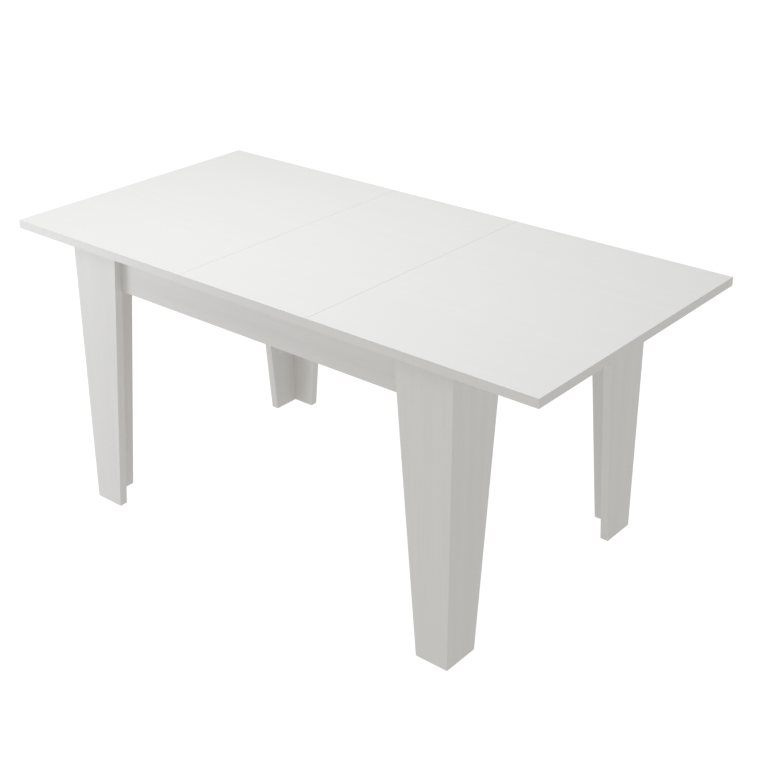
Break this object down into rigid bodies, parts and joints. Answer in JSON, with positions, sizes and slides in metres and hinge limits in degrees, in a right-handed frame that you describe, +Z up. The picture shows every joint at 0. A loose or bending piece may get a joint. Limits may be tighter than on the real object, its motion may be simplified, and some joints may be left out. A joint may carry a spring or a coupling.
{
  "type": "extendable dining table",
  "caption": "Rectangular dining table on tapered L-shaped panel legs; the top parts on ball-bearing runners and takes a loose leaf in the middle.",
  "frame": {"origin": "on the floor, under the middle of the table", "axes": "+X along the table towards its right end, +Y from the front to the back, +Z up"},
  "size_m": [1.6, 0.8, 0.75],
  "materials": {
    "white_top_board": "white melamine-faced chipboard, satin",
    "white_frame_board": "white melamine-faced chipboard with a faint wood grain, satin",
    "white_edge_band": "white ABS edging, satin",
    "beech": "planed beech, unfinished",
    "zinc_steel": "zinc-plated steel",
    "runner_steel": "zinc-plated rolled sheet steel",
    "nylon": "natural nylon",
    "felt": "pressed grey felt",
    "rubber": "black rubber"
  },
  "bodies": {
    "frame": {"leg_corner_dowels": "beech", "apron_dowels": "beech", "front_apron": "white_frame_board", "back_apron": "white_frame_board", "left_apron": "white_frame_board", "right_apron": "white_frame_board", "apron_edge_bands": "white_edge_band", "front_right_leg_front_board": "white_frame_board", "front_right_leg_side_board": "white_frame_board", "front_right_leg_edge_bands": "white_edge_band", "front_right_corner_block": "beech", "front_left_leg_front_board": "white_frame_board", "front_left_leg_side_board": "white_frame_board", "front_left_leg_edge_bands": "white_edge_band", "front_left_corner_block": "beech", "back_right_leg_front_board": "white_frame_board", "back_right_leg_side_board": "white_frame_board", "back_right_leg_edge_bands": "white_edge_band", "back_right_corner_block": "beech", "back_left_leg_front_board": "white_frame_board", "back_left_leg_side_board": "white_frame_board", "back_left_leg_edge_bands": "white_edge_band", "back_left_corner_block": "beech", "leg_bolts": "zinc_steel", "leg_insert_nuts": "zinc_steel", "right_cross_rail": "beech", "left_cross_rail": "beech", "rail_brackets": "zinc_steel", "rail_bracket_screws": "zinc_steel", "rail_felt_strips": "felt", "slip_pads": "nylon", "extension_bumpers": "rubber", "right_front_runner_channel": "runner_steel", "right_back_runner_channel": "runner_steel", "left_front_runner_channel": "runner_steel", "left_back_runner_channel": "runner_steel", "channel_screws": "zinc_steel", "foot_glides": "nylon"},
    "right_half": {"top_half_right": "white_top_board", "right_half_edge_bands": "white_edge_band", "right_half_screws": "zinc_steel", "right_front_batten": "beech", "right_front_runner_slider": "runner_steel", "right_back_batten": "beech", "right_back_runner_slider": "runner_steel"},
    "left_half": {"top_half_left": "white_top_board", "left_half_edge_bands": "white_edge_band", "left_half_locating_pins": "beech", "left_half_screws": "zinc_steel", "left_front_batten": "beech", "left_front_runner_slider": "runner_steel", "left_back_batten": "beech", "left_back_runner_slider": "runner_steel"},
    "leaf": {"extension_leaf": "white_top_board", "leaf_edge_bands": "white_edge_band", "leaf_locating_pins": "beech"},
    "right_ball_cages": {"right_front_ball_cage": "runner_steel", "right_back_ball_cage": "runner_steel"},
    "left_ball_cages": {"left_front_ball_cage": "runner_steel", "left_back_ball_cage": "runner_steel"}
  },
  "joints": [
    {"name": "right_half_slide", "type": "slide", "parent": "frame", "child": "right_half", "axis": [1, 0, 0], "range_m": [-0.2, 0]},
    {"name": "left_half_slide", "type": "slide", "parent": "frame", "child": "left_half", "axis": [-1, 0, 0], "range_m": [-0.2, 0]},
    {"name": "leaf_lift", "type": "slide", "parent": "frame", "child": "leaf", "axis": [0, 0, 1], "range_m": [0, 0.25]},
    {"name": "right_cage_roll", "type": "slide", "parent": "frame", "child": "right_ball_cages", "axis": [1, 0, 0], "range_m": [-0.1, 0]},
    {"name": "left_cage_roll", "type": "slide", "parent": "frame", "child": "left_ball_cages", "axis": [-1, 0, 0], "range_m": [-0.1, 0]}
  ],
  "couplings": [
    {"joint": "left_half_slide", "follows": "right_half_slide", "ratio": 1},
    {"joint": "leaf_lift", "follows": "right_half_slide", "ratio": -1.25},
    {"joint": "right_cage_roll", "follows": "right_half_slide", "ratio": 0.5},
    {"joint": "left_cage_roll", "follows": "right_half_slide", "ratio": 0.5}
  ]
}
